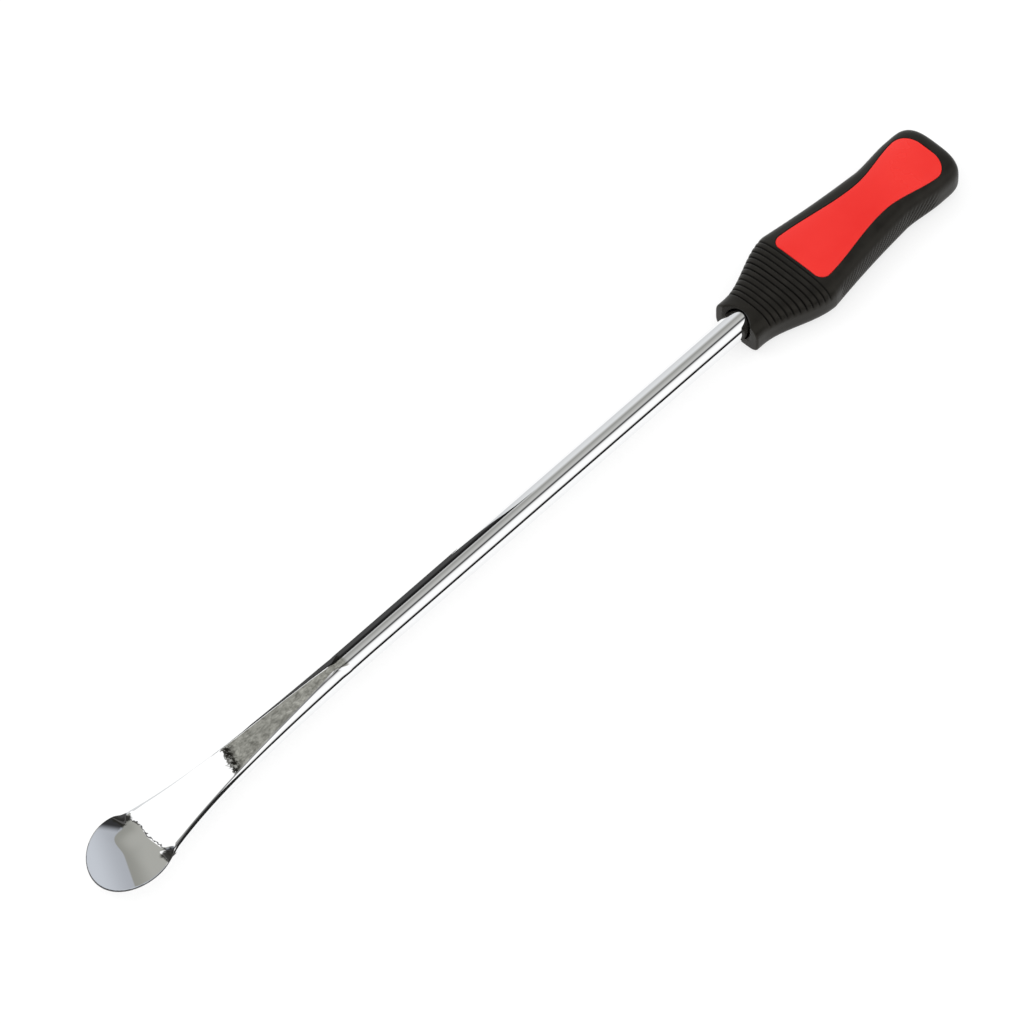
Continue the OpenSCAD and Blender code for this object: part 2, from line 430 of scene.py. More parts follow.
def belly_depth(s):
    """Depth of the forged end below the bar's axis."""
    b = sizes("bar")
    thin = b.blade_t - (b.radius - b.blade_fall)
    return mix(thin, b.radius, eased(s, b.lip, b.forged * BELLY_END))


def soft_min(a, b, k):
    """The lower of a and b, rounded over where they differ by less than k."""
    near = np.maximum(k - np.abs(a - b), 0) / np.maximum(k, 1e-9)
    return np.minimum(a, b) - near * near * k / 4


def blade_quarter(wide, top, share):
    """Offsets of the points from the side (share 0) to the middle of the upper face (share 1)."""
    b = sizes("bar")
    low = min(EDGE_CAP - EDGE_ROOM, asin(min(1, max(0, (top - b.chamfer) / b.radius))))
    high = min(EDGE_CAP, max(low + EDGE_LEAST, asin(min(1, (top + b.chamfer) / b.radius))))
    turn = np.interp(share, [0, BEVEL_FROM, BEVEL_TO], [0, low, high])
    flat = wide * cos(high) * (1 - ramp(share, BEVEL_TO, 1))
    return np.where(share < BEVEL_TO, wide * np.cos(turn), flat)


def tang_ring(into, angle, round_y, round_z):
    """A ring of the tang, which flattens inside the handle: its offsets and heights."""
    long = TANG_LONG - TANG_ROUND
    turn = float(eased(into, 0, TANG_TURN))
    end = float(ramp(into, long - TANG_TAPER, long))
    notch = 0.0
    for k in range(1, TANG_NOTCHES + 1):
        gap = abs(into - long * k / (TANG_NOTCHES + 1))
        if gap < TANG_NOTCH:
            notch = (TANG_NOTCH ** 2 - gap ** 2) ** 0.5
    half = TANG_W / 2 - TANG_TAPER * end - notch
    flat_y = half * np.sign(np.cos(angle)) * np.abs(np.cos(angle)) ** TANG_CORNER
    flat_z = TANG_T / 2 * np.sign(np.sin(angle)) * np.abs(np.sin(angle)) ** TANG_CORNER
    return mix(round_y, flat_y, turn), mix(round_z, flat_z, turn)


def forged_ring(s, angle, up, share, round_y, round_z):
    """A ring of the spoon or the blade: its offsets, its heights and its share of the rim's painted dark
    reflection line.
    """
    b = sizes("bar")
    wide, top = float(blade_half(s)), float(top_height(s))
    # Blade: an oval whose top is flattened, with softened edges
    k = b.chamfer * float(ramp(s, b.forged, b.forged - SOFT_END))
    high_y = np.where(np.cos(angle) >= 0, 1.0, -1.0) * blade_quarter(wide, top, share)
    oval = b.radius * np.sqrt(np.maximum(0, 1 - (high_y / max(wide, 1e-6)) ** 2))
    low_z = -float(belly_depth(s)) * np.abs(np.sin(angle))
    y = np.where(up, high_y, wide * np.cos(angle))
    z = np.where(up, soft_min(top + top_lift(s, y), oval, k), low_z)
    # Lip: a curved plate with a low wall round its rim and a bevel below it
    plate = mix(b.tip_t, b.blade_t, float(ramp(s, 0, b.lip)))
    lip_y = wide * np.cos(angle)
    reach = np.hypot(2 * s / b.spoon_l - 1, lip_y / (b.spoon_w / 2))
    inset = np.maximum(0, 1 - reach) * b.spoon_w / 2
    corner = LIP_CORNER - np.sqrt(LIP_CORNER ** 2 - np.maximum(0, LIP_CORNER - inset) ** 2)
    under = LIP_WALL + (plate - LIP_WALL) * np.minimum(1, inset / LIP_UNDER)
    lip_z = top + top_lift(s, lip_y) - np.where(up, corner, under)
    onto = float(eased(s, b.lip - LIP_BEFORE, b.lip + LIP_BEHIND))
    y, z = mix(lip_y, y, onto), mix(lip_z, z, onto)
    # The rim's painted dark reflection line runs on along the near edge of the upper face
    near = (share > LINE_FROM) & (share < BEVEL_TO) & up & (y < 0)
    rim = mix(np.where(inset < RIM_LINE, 1.0, 0.0), np.where(near, LINE_LEVEL, 0.0), onto)
    rim = rim * float(ramp(s, b.forged - LINE_END, b.forged - LINE_FADE))
    # Just before the full round the points spread evenly again
    even = float(eased(s, b.forged - EVEN_END, b.forged))
    return mix(y, round_y, even), mix(z, round_z, even), rim


def bar_shape():
    """Rings of the forged end, the round bar and the flattened tang, and the marks they carry."""
    b = sizes("bar")
    axis = axis_height()
    angle = np.arange(BAR_POINTS) * 2 * pi / BAR_POINTS
    up = np.sin(angle) >= -1e-9
    share = np.arcsin(np.abs(np.sin(angle))) / (pi / 2)
    round_y, round_z = b.radius * np.cos(angle), b.radius * np.sin(angle)
    lip = b.lip * (1 - np.cos(np.linspace(TIP_TURN, pi / 2, LIP_RINGS)))
    blade = b.lip + (b.forged - b.lip) * np.linspace(0, 1, BLADE_RINGS)[1:]
    bar_end = BUTT_X - TIP_X - sizes("grip").long + TANG_ROUND
    plain = np.linspace(b.forged, bar_end, BAR_RINGS)[1:]
    tang = bar_end + np.linspace(0, TANG_LONG - TANG_ROUND, TANG_RINGS)[1:]
    rings, marks = [], {"upper_face": [], "painted_rim_reflection": [], "upper_half": []}
    for s in np.concatenate([lip, blade, plain, tang]):
        y, z, rim = round_y, round_z, np.zeros(BAR_POINTS)
        if s > bar_end:
            y, z = tang_ring(s - bar_end, angle, round_y, round_z)
        elif s < b.forged:
            y, z, rim = forged_ring(s, angle, up, share, round_y, round_z)
        rings.append(np.stack([np.full_like(y, TIP_X + s), y, axis + z], 1))
        marks["upper_face"].append(np.where(up & (share > BEVEL_TO) & (s < b.forged), 1.0, 0.0))
        marks["painted_rim_reflection"].append(rim)
        marks["upper_half"].append(np.where(up, 1.0, 0.0))
    return np.array(rings), {label: np.array(values) for label, values in marks.items()}


# ---- Handle: g is the distance behind the collar's front ----

SKIN_POINTS = 128
# A quarter turn's points up to the window's rim, over it, and down the window's wall
RIM_FROM, RIM_TO, WALL_TO = 17, 24, 26
# The most that the window and its rim take of the handle's half-width
WINDOW_MOST, RIM_MOST = 0.9, 0.95
BORE_MOUTH, BORE_DEEP = mm(5.6, 4)
# The bore from the tang outward: its depth, and its widening from the bar to the mouth
BORE_STEPS = ((20 * MM, 0), (12 * MM, 0), (7.5 * MM, 0), (5.5 * MM, 0.6), (4 * MM, 1))
BITE_HALF, BITE_DEEP, BITE_FADE = mm(6.2, 2.9, 6)
BITE_ROUND, BITE_EASE, BITE_LOW, BITE_FULL = 0.8, 1.5, -4 * MM, 1 * MM
FRONT_ROUND, FRONT_LAND = mm(0.8, 0.15)
RIM_RADIUS, RIM_BAND, RIM_CROWD = 0.3 * MM, 0.6 * MM, 1.6
# Where the skin's points gather towards the window, and how far before the butt they spread again
GATHER_FROM, GATHER_TO, GATHER_END = mm(12, 27, 3)
SKIN_STEP = 0.27 * MM
SLEEVE_WALL, NECK_WALL, NECK_WALL_END = mm(3, 2.4, 35)
CORE_HALF_H = 5.4 * MM
POCKET_FLOOR = 4.4 * MM
RIB_LEAN, GROOVE_ROUND = 0.8, 0.5
# Where the rings fade, as a share of their pitch, and above and below the axis
RING_FADE, RINGS_ABOVE, RINGS_BELOW = 0.4, mm(1.2, 3), mm(6, 7)
# Where the ribs start and end along the handle, and the band round the axis that they keep to
RIBS_FROM, RIBS_TO, RIB_BAND = mm(32, 36), mm(82, 86), mm(2.4, 4.6)


def groove(turns):
    """Depth of a groove, 1 at its bottom and 0 along the rounded ridge between two."""
    return 1 - np.abs(np.sin(pi * turns)) ** GROOVE_ROUND


def section_quarter(wide, high, corner):
    """A quarter of a rounded section as dense points, from the side to the top, with lengths."""
    a = np.linspace(0, pi / 2, 500)
    y = wide * np.maximum(0, np.cos(a)) ** (2 / corner)
    z = high * np.maximum(0, np.sin(a)) ** (2 / corner)
    return y, z, np.concatenate([[0], np.cumsum(np.hypot(np.diff(y), np.diff(z)))])


def skin_ring(g, inside, window, edge, below=False):
    """One ring of the sleeve's skin: its offsets and heights for the first quarter turn.

    Points run from the side to the window's edge, down its wall and over its floor."""
    s = sizes("grip")
    wide, high, corner = (float(v) for v in grip_outline(g, below))
    y, z, run = section_quarter(wide, high, corner)
    quarter = SKIN_POINTS // 4
    window = min(window, wide * WINDOW_MOST)
    rim_start = min(window + RIM_BAND, wide * RIM_MOST)
    place = np.arange(quarter + 1)
    # Evenly spread where there is no window, and gathered at the window's edge where there is
    even = np.interp(place / quarter * run[-1], run, y)
    far = np.interp(-rim_start, -y, run)
    out = np.interp(place / RIM_FROM * far, run, y)
    crowd = np.clip((RIM_TO - place) / (RIM_TO - RIM_FROM), 0, 1) ** RIM_CROWD
    roll = window + (rim_start - window) * crowd
    over = window * np.clip((quarter - place) / (quarter - WALL_TO), 0, 1)
    lined = np.where(place <= RIM_FROM, out, np.where(place <= RIM_TO, roll, over))
    spread = float(1 - eased(g, s.long - GATHER_END, s.long))
    across = mix(even, lined, float(eased(g, GATHER_FROM, GATHER_TO)) * spread)
    height = np.interp(-across, -y, z)
    height = height - rim_drop(np.full(quarter + 1, g), across, edge, RIM_RADIUS)
    if inside:
        height = np.where(place >= WALL_TO, POCKET_FLOOR, height)
        height = np.where(place == RIM_TO + 1, mix(height, POCKET_FLOOR, 0.5), height)
    return across, height, (wide, high, corner)


def sunk_by(g, z):
    """Depth of the neck's rings and the sides' ribs at a point of the skin."""
    s = sizes("grip")
    pitch = (LAST_RING - FIRST_RING) / s.rings
    lead = RING_FADE * pitch
    fade = ramp(g, FIRST_RING - lead, FIRST_RING) * ramp(g, LAST_RING + lead, LAST_RING)
    shown = np.where(z < 0, eased(-z, *RINGS_BELOW), eased(z, *RINGS_ABOVE))
    rings = s.ring_depth * fade * shown * groove((g - FIRST_RING) / pitch)
    ends = eased(g, *RIBS_FROM) * (1 - eased(g, *RIBS_TO))
    band = 1 - eased(np.abs(z), *RIB_BAND)
    ribs = s.rib_depth * ends * band * groove((g - RIB_LEAN * z) / s.rib_pitch)
    return rings + ribs


def mirrored(above, below, points):
    """A full ring from its first quarter above the axis and the one below, each as Y and Z."""
    q = points // 4
    order = np.arange(points)
    fold = order % (2 * q)
    k = np.where(fold <= q, fold, 2 * q - fold)
    low = order > 2 * q
    y = np.where(low, below[0][k], above[0][k]) * np.where((order > q) & (order < 3 * q), -1, 1)
    z = np.where(low, -below[1][k], above[1][k])
    return y, z


def skin_stations():
    """Places of the skin's rings, crowded where the windows start and end, and whether inside them."""
    p, long = sizes("pad"), sizes("grip").long
    first, last = p.start, p.start + p.long
    front = list(np.arange(FRONT_ROUND + SKIN_STEP, first - RIM_RADIUS, SKIN_STEP))
    front += [first - RIM_RADIUS * t for t in (1, 0.6, 0.3, 0.1, 0)]
    middle = [first + d * MM for d in (0, 0.02, 0.08, 0.16, 0.28, 0.42, 0.6, 0.8)]
    middle += list(np.arange(first + 1 * MM, last - 0.75 * MM, SKIN_STEP))
    middle += [last - d * MM for d in (0.6, 0.4, 0.25, 0.14, 0.06, 0.02, 0)]
    back = [last + RIM_RADIUS * t for t in (0, 0.1, 0.3, 0.6, 1)]
    turn = np.linspace(asin(ramp(last + 0.5 * MM, BUTT_START, long)), radians(88.5), 22)
    back += list(mix(BUTT_START, long, np.sin(turn)))
    return [(g, part is middle) for part in (front, middle, back) for g in part]


def sleeve_shape():
    """Rings of the sleeve: the bore, the collar's front, the skin and the butt."""
    s = sizes("grip")
    axis = axis_height()
    edge = pad_edge()
    angle = np.arange(SKIN_POINTS) * 2 * pi / SKIN_POINTS
    rings, marks = [], []

    def arch(y, z):
        """Depth of the bite over the bar, which leaves the collar's lower lip whole."""
        over = np.maximum(0, 1 - (y / BITE_HALF) ** 2) ** BITE_ROUND
        return BITE_DEEP * over * eased(z, BITE_LOW, BITE_FULL)

    def bitten(x, y, z):
        """Draws the collar's front back in an arch over the bar."""
        return x + arch(y, z) * np.clip(1 - x / BITE_FADE, 0, 1) ** BITE_EASE

    def add(x, y, z, mark=0.0):
        x = np.broadcast_to(x, y.shape)
        rings.append(np.stack([GRIP_X + x, y, np.maximum(0, axis + z)], 1))
        marks.append(np.broadcast_to(mark, y.shape))

    for deep, widened in BORE_STEPS:
        radius = mix(sizes("bar").radius, BORE_MOUTH, widened)
        add(deep, radius * np.cos(angle), radius * np.sin(angle))
    mouth_y, mouth_z = BORE_MOUTH * np.cos(angle), BORE_MOUTH * np.sin(angle)
    for share in np.linspace(0.8, 0, 5):
        add(mix(arch(mouth_y, mouth_z), BORE_DEEP, share), mouth_y, mouth_z)
    # Flat front, from the bore out to the rounded corner
    above, below = (skin_ring(0.0, False, PAD_TIP, edge, side)[:2] for side in (False, True))
    front_y, front_z = mirrored(above, below, SKIN_POINTS)
    out = np.hypot(front_y, front_z)
    shrink = np.maximum(out - FRONT_ROUND, BORE_MOUTH + FRONT_LAND) / out
    for share in np.linspace(0.15, 0.95, 6):
        y, z = mix(mouth_y, front_y * shrink, share), mix(mouth_z, front_z * shrink, share)
        add(bitten(0, y, z), y, z)
    for turn in np.linspace(0, pi / 2, 8):
        y = front_y * mix(shrink, 1, sin(turn))
        z = front_z * mix(shrink, 1, sin(turn))
        add(bitten(FRONT_ROUND * (1 - cos(turn)), y, z), y, z)

    for g, inside in skin_stations():
        window = float(pad_half(np.array(g)))
        up_y, up_z, (wide, high, corner) = skin_ring(g, inside, window, edge)
        low_y, low_z, (_, low_high, low_corner) = skin_ring(g, inside, window, edge, True)
        y, z = mirrored((up_y, up_z), (low_y, low_z), SKIN_POINTS)
        high, corner = np.where(z < 0, low_high, high), np.where(z < 0, low_corner, corner)
        out_y = np.sign(y) * (np.abs(y) / wide) ** (corner - 1) / wide
        out_z = np.sign(z) * (np.minimum(1, np.abs(z) / high)) ** (corner - 1) / high
        scale = np.maximum(np.hypot(out_y, out_z), 1e-9)
        skin = np.ones(len(y)) if not inside else np.where(np.abs(y) > window + 1e-7, 1.0, 0.0)
        sunk = sunk_by(g, z) * skin
        y, z = y - sunk * out_y / scale, z - sunk * out_z / scale
        add(bitten(g, y, z) if g < BITE_FADE else g, y, z, sunk / s.ring_depth)
    return np.array(rings), {"groove_depth": np.array(marks)}


CORE_POINTS = 128
# A quarter turn's points at the side, up to the pad's foot, up its wall, and to its rim's end
SIDE_TO, SHELF_TO, PAD_WALL_TO, PAD_RIM_TO = 3, 5, 8, 16
CORE_END, PAD_LEAST, PAD_INSET = mm(0.2, 0.2, 0.1)


def core_half(g):
    """Half-width of the core's body, which leaves the sleeve's wall round it."""
    neck = NECK_WALL * (1 - float(eased(g, TANG_ROUND, NECK_WALL_END)))
    return float(grip_outline(g)[0]) - SLEEVE_WALL - neck


def core_shape():
    """Rings of the red core: a flat body with a raised pad above and below."""
    p = sizes("pad")
    axis = axis_height()
    edge = pad_edge()
    edge = np.stack([np.clip(edge[:, 0], p.start + p.seam, p.start + p.long - p.seam),
                     np.maximum(0, edge[:, 1] - p.seam)], 1)
    first, last = p.start + p.seam, p.start + p.long - p.seam
    t = (1 - np.cos(np.linspace(0, pi, 200))) / 2
    stations = [(g, False) for g in np.linspace(TANG_ROUND, first, 12)]
    stations += [(g, True) for g in first + t * (last - CORE_END - first)]
    q = CORE_POINTS // 4
    place = np.arange(q + 1)
    rings = []
    for g, inside in stations:
        body = core_half(g)
        pad = max(PAD_LEAST, min(body - PAD_INSET, float(pad_half(np.array(g))) - p.seam))
        crowd = np.clip((place - PAD_WALL_TO) / (PAD_RIM_TO - PAD_WALL_TO), 0, 1) ** RIM_CROWD
        roll = np.maximum(pad - RIM_BAND * crowd, 0)
        top = max(0.0, pad - RIM_BAND) * np.clip((q - place) / (q - PAD_RIM_TO), 0, 1)
        y = np.where(place <= SHELF_TO, pad, np.where(place <= PAD_RIM_TO, roll, top))
        y = np.where(place <= SIDE_TO, body, y)
        y = np.where((place > SIDE_TO) & (place < SHELF_TO), mix(body, pad, 0.5), y)
        halves = []
        for below in (False, True):
            z = np.minimum(CORE_HALF_H, CORE_HALF_H * place / SIDE_TO)
            if inside:
                skin = crown(y, *(float(v) for v in grip_outline(g, below)))
                skin = skin - rim_drop(np.full(q + 1, g), y, edge, RIM_RADIUS)
                skin = np.maximum(skin, CORE_HALF_H)
                rise = np.clip((place - SHELF_TO) / (PAD_WALL_TO - SHELF_TO), 0, 1)
                z = np.where(place > SHELF_TO, mix(CORE_HALF_H, skin, rise), z)
            halves.append((y, z))
        y, z = mirrored(*halves, CORE_POINTS)
        rings.append(np.stack([np.full_like(y, GRIP_X + g), y, np.maximum(0, axis + z)], 1))
    return np.array(rings)


def cavity_block():
    """A plain block the size of the core's body, which hollows the sleeve."""
    p = sizes("pad")
    side_y, side_z = np.array([1, -1, -1, 1]), np.array([1, 1, -1, -1])
    rings = []
    for g in np.linspace(TANG_ROUND, p.start + p.long - p.seam, 24):
        z = axis_height() + CORE_HALF_H * side_z
        rings.append(np.stack([np.full(4, GRIP_X + g), core_half(g) * side_y, z], 1))
    return shaped_tube("cavity", np.array(rings))[0]


# ---- Materials ----

def give(tree, socket, value):
    """Wires a socket to another or sets its number; None leaves it alone."""
    if isinstance(value, bpy.types.NodeSocket):
        tree.links.new(value, socket)
    elif value is not None:
        socket.default_value = value


def node(tree, kind, *values, **settings):
    """A new shader node, whose sockets take the values in their order."""
    made = tree.nodes.new("ShaderNode" + kind)
    for name, value in settings.items():
        setattr(made, name, value)
    for socket, value in zip(made.inputs, values):
        give(tree, socket, value)
    return made


def fill(tree, made, **values):
    """Gives a node's sockets values by name; in a name, _ stands for a space."""
    for name, value in values.items():
        give(tree, made.inputs[name.replace("_", " ")], value)
    return made


def calc(tree, operation, *values, clamp=False):
    return node(tree, "Math", *values, operation=operation, use_clamp=clamp).outputs[0]


def product(tree, first, *others):
    """Masks multiplied together."""
    for mask in others:
        first = calc(tree, "MULTIPLY", first, mask)
    return first


def between(tree, value, low, high, to_low=0.0, to_high=1.0):
    """A smooth step of value from low to high."""
    return node(tree, "MapRange", value, low, high, to_low, to_high,
                interpolation_type="SMOOTHSTEP").outputs[0]


def blended(tree, mask, a, b):
    """A colour mix of a and b by mask; a and b are colours or sockets."""
    made = node(tree, "Mix", mask, data_type="RGBA")
    for socket, value in zip(made.inputs[6:8], (a, b)):
        give(tree, socket, value if isinstance(value, bpy.types.NodeSocket) else (*value, 1))
    return made.outputs[2]


def two_tone(tree, value, low, high):
    """A colour ramp read by value; low and high are (place, colour)."""
    made = node(tree, "ValToRGB", value)
    for stop, (place, shade) in zip(made.color_ramp.elements, (low, high)):
        stop.position, stop.color = place, (*shade, 1)
    return made.outputs[0]


def noise(tree, vector, scale, detail=3.0, rough=0.5):
    return node(tree, "TexNoise", vector, None, scale, detail, rough).outputs["Fac"]


def object_place(tree):
    return node(tree, "TexCoord").outputs["Object"]


def attribute(tree, name):
    """A mark that the piece carries."""
    return node(tree, "Attribute", attribute_name=name).outputs["Fac"]


def effect_group(name, inputs, outputs):
    """An empty node group with named number sockets, its inputs with their defaults."""
    group = bpy.data.node_groups.new(name, "ShaderNodeTree")
    for label, value in inputs.items():
        made = group.interface.new_socket(name=label, in_out="INPUT", socket_type="NodeSocketFloat")
        made.default_value = value
    for label in outputs:
        group.interface.new_socket(name=label, in_out="OUTPUT", socket_type="NodeSocketFloat")
    return group, group.nodes.new("NodeGroupInput").outputs, group.nodes.new("NodeGroupOutput")


def grain_group():
    """Fine moulded or forged grain: a height for bump and a mask of lighter and darker patches."""
    group, given, out = effect_group(
        "surface_grain", {"Fine Scale": 1400.0, "Patch Scale": 90.0, "Patch Amount": 0.1},
        ["Height", "Patches"])
    where = object_place(group)
    centred = calc(group, "SUBTRACT", noise(group, where, given["Patch Scale"], 4.0), 0.5)
    fill(group, out, Height=noise(group, where, given["Fine Scale"], 2.0),
         Patches=calc(group, "MULTIPLY_ADD", centred, given["Patch Amount"], 0.5, clamp=True))
    return group


# Share of the cells that carry no speck
CLEAN_CELLS = 0.9


def dust_group():
    """Sparse specks of dust, as a mask."""
    group, given, out = effect_group("dust_specks", {"Density Scale": 160.0, "Speck Size": 0.1}, ["Specks"])
    cells = node(group, "TexVoronoi", object_place(group), None, given["Density Scale"])
    dot = calc(group, "LESS_THAN", cells.outputs["Distance"], given["Speck Size"])
    draw = node(group, "SeparateColor", cells.outputs["Color"]).outputs[0]
    fill(group, out, Specks=product(group, dot, calc(group, "GREATER_THAN", draw, CLEAN_CELLS)))
    return group


def grouped(tree, name, make, **values):
    """A shared effect, made when it is first asked for."""
    group = bpy.data.node_groups.get(name) or make()
    return fill(tree, node(tree, "Group", node_tree=group), **values).outputs


def new_material(name):
    material = bpy.data.materials.new(name)
    material.use_nodes = True
    tree = material.node_tree
    return material, tree, tree.nodes["Principled BSDF"]


def bumped(tree, shader, height, strength, distance):
    made = fill(tree, node(tree, "Bump"), Strength=strength, Distance=distance, Height=height)
    fill(tree, shader, Normal=made.outputs[0])


# Chrome: where each mark starts and ends, in metres from the tip or across the bar; the dark marks are
# painted dark reflections, the torn ones partly forging marks
FLAT_SLANT, FLAT_SHIFT, FLAT_TORN = -0.42, 1.2 * MM, 6 * MM
FLAT_FROM, TORN_END_FROM = mm(63.6, 64.1), mm(68.6, 65.6)
LINE_TORN, LINE_HALF, LINE_FOLLOWS = 3.2 * MM, mm(0.42, 0.12), 0.75
CORNER_TORN, CORNER_ACROSS, CORNER_AT, CORNER_SLANT = 2.5 * MM, mm(7.4, 8.4), 8 * MM, 0.62
CORNER_FROM, CORNER_TO = mm(17, 20.4), mm(25.4, 24.4)
NEAR_TORN, NEAR_ACROSS = 3 * MM, mm(-8.6, -9.8)
NEAR_FROM, NEAR_TO = mm(19.4, 20.6), mm(25.8, 24.6)
MARK_AND_REFLECTION_STRENGTH, MARK_AND_REFLECTION_DARK = 0.94, (0.022, 0.02, 0.018)
RIM_REFLECTION_STRENGTH, RIM_REFLECTION_DARK = 0.9, (0.03, 0.03, 0.032)
SCALE_AND_REFLECTION_DARK, SCALE_AND_REFLECTION_PALE = (0.34, (0.12, 0.12, 0.105)), (0.66, (0.46, 0.46, 0.42))
TORN_END_DARK, TORN_END_PALE = (0.5, (0.015, 0.014, 0.012)), (0.66, (0.4, 0.4, 0.38))
STREAK_DRAW, STREAK_SHARE = (0.4, 1, 1), 0.65


def chrome_material():
    """Bright plating. The long forged flat gets a mottled grey, partly its forged scale and partly painted
    reflection; the lip's start and the rims get dark marks, painted dark reflections, the torn ones partly
    forging marks.
    """
    material, tree, shader = new_material("polished_chrome")
    where = object_place(tree)
    over_x, over_y, _ = node(tree, "SeparateXYZ", where).outputs
    grain = grouped(tree, "surface_grain", grain_group,
                    Fine_Scale=900.0, Patch_Scale=420.0, Patch_Amount=1.4)
    ragged = noise(tree, where, 750.0, 4.0, 0.65)
    off = calc(tree, "SUBTRACT", ragged, 0.5)
    from_tip = calc(tree, "SUBTRACT", over_x, TIP_X)

    def frayed(value, by):
        return calc(tree, "MULTIPLY_ADD", off, by, value)

    def patch(*steps):
        return product(tree, *(between(tree, value, *ends) for value, ends in steps))

    # The forged flat, drawn out in streaks along the bar, with a torn dark end; its mottled grey is partly
    # forged scale and partly painted reflection
    askew = calc(tree, "MULTIPLY_ADD", over_y, FLAT_SLANT, FLAT_SHIFT)
    torn = calc(tree, "ADD", frayed(from_tip, FLAT_TORN), askew)
    forged = product(tree, patch((torn, FLAT_FROM)), attribute(tree, "upper_face"))
    drawn = fill(tree, node(tree, "Mapping", where), Scale=STREAK_DRAW).outputs[0]
    patches = calc(tree, "MULTIPLY", grain["Patches"], 1 - STREAK_SHARE)
    scale = calc(tree, "MULTIPLY_ADD", noise(tree, drawn, 1500.0, 5.0, 0.75), STREAK_SHARE, patches)
    plate = tuple(sizes("finish").plate)
    base = blended(tree, forged, plate, two_tone(tree, scale, SCALE_AND_REFLECTION_DARK, SCALE_AND_REFLECTION_PALE))
    # Painted dark band at the flat's torn start, partly a forging mark and partly dark reflection
    torn_end = product(tree, forged, patch((torn, TORN_END_FROM)))
    base = blended(tree, torn_end, base, two_tone(tree, ragged, TORN_END_DARK, TORN_END_PALE))
    # A torn dark line where the lip's bend starts, which the bend's early start pushes up the blade; it is
    # painted, partly a forging mark and partly dark reflection
    away = calc(tree, "ABSOLUTE", calc(tree, "SUBTRACT", over_y, BULGE_AT))
    early = between(tree, away, BULGE_HALF, 0.0, 0.0, BULGE_LONG * LINE_FOLLOWS)
    line = calc(tree, "SUBTRACT", frayed(from_tip, LINE_TORN), early)
    line = calc(tree, "ABSOLUTE", calc(tree, "SUBTRACT", line, BEND_LINE))
    line = between(tree, line, *LINE_HALF)
    # A dark corner beside it, and a smaller one on the near side, both painted dark reflections
    along = frayed(from_tip, CORNER_TORN)
    slanted = calc(tree, "MULTIPLY_ADD", calc(tree, "SUBTRACT", over_y, CORNER_AT), CORNER_SLANT, from_tip)
    corner = patch((frayed(over_y, CORNER_TORN), CORNER_ACROSS), (slanted, CORNER_FROM), (along, CORNER_TO))
    near = patch((frayed(over_y, NEAR_TORN), NEAR_ACROSS), (along, NEAR_FROM), (along, NEAR_TO))
    marks = calc(tree, "MAXIMUM", calc(tree, "MAXIMUM", line, corner), near)
    marks = product(tree, marks, attribute(tree, "upper_half"), MARK_AND_REFLECTION_STRENGTH)
    base = blended(tree, marks, base, MARK_AND_REFLECTION_DARK)
    # The rims' dark line, a painted dark reflection
    base = blended(tree, product(tree, attribute(tree, "painted_rim_reflection"), RIM_REFLECTION_STRENGTH), base, RIM_REFLECTION_DARK)
    rough = calc(tree, "MULTIPLY_ADD", noise(tree, where, 60.0), 0.012, 0.008)
    rough = calc(tree, "MULTIPLY_ADD", forged, 0.13, rough)
    fill(tree, shader, Metallic=1.0, Base_Color=base, Roughness=rough)
    bumped(tree, shader, product(tree, scale, forged), 0.3, 0.02 * MM)
    return material


# Rubber: how deep a groove is where its painted shade starts and ends, and the shades of the black:
# painted shade in the grooves, then where the skin is fresh and where it is worn
GROOVE_SHADE = (0.12, 0.6)
RUBBER_SHADES = (0.15, 0.6, 2.4)
DUST = (0.2, 0.2, 0.2)


def rubber_material():
    """Black moulded rubber, satin, with fine grain, painted shade in the grooves and a trace of dust."""
    material, tree, shader = new_material("black_rubber")
    grain = grouped(tree, "surface_grain", grain_group,
                    Fine_Scale=1500.0, Patch_Scale=220.0, Patch_Amount=1.2)
    specks = grouped(tree, "dust_specks", dust_group, Density_Scale=150.0, Speck_Size=0.04)[0]
    # Painted shade: the black darkens towards the bottom of the grooves
    sunk = between(tree, attribute(tree, "groove_depth"), *GROOVE_SHADE)
    black = tuple(sizes("finish").black)
    deep, fresh, worn = (tuple(min(1, c * shade) for c in black) for shade in RUBBER_SHADES)
    base = blended(tree, sunk, blended(tree, grain["Patches"], fresh, worn), deep)
    rough = calc(tree, "MULTIPLY_ADD", grain["Patches"], 0.2, 0.3)
    fill(tree, shader, Base_Color=blended(tree, specks, base, DUST),
         Roughness=calc(tree, "MULTIPLY_ADD", sunk, 0.5, rough, clamp=True),
         Specular_IOR_Level=0.2, Specular_Tint=(1, 0.94, 0.84, 1))
    bumped(tree, shader, grain["Height"], 0.5, 0.06 * MM)
    return material


# Red: the least and the most of its patches, for red, green and blue
RED_SHADES = ((0.94, 0.94, 0.94), (1.06, 1.8, 1.8))


def red_material():
    """Red moulded plastic, semi-gloss, with a slight orange peel."""
    material, tree, shader = new_material("red_plastic")
    grain = grouped(tree, "surface_grain", grain_group,
                    Fine_Scale=600.0, Patch_Scale=45.0, Patch_Amount=1.6)
    red = tuple(sizes("finish").red)
    dull, bright = (tuple(min(1, c * s) for c, s in zip(red, shade)) for shade in RED_SHADES)
    fill(tree, shader, Base_Color=blended(tree, grain["Patches"], dull, bright),
         Roughness=calc(tree, "MULTIPLY_ADD", grain["Patches"], 0.1, 0.2), Specular_IOR_Level=0.4)
    bumped(tree, shader, grain["Height"], 0.12, 0.03 * MM)
    return material


# ---- Stage ----

CAMERA_TURN, CAMERA_RISE = -47.0, 54.0
VIEW_WIDTH = 0.34133
LENS = 1500.0
AIM = Vector((2.5 * MM, 5.94 * MM, 0.0))
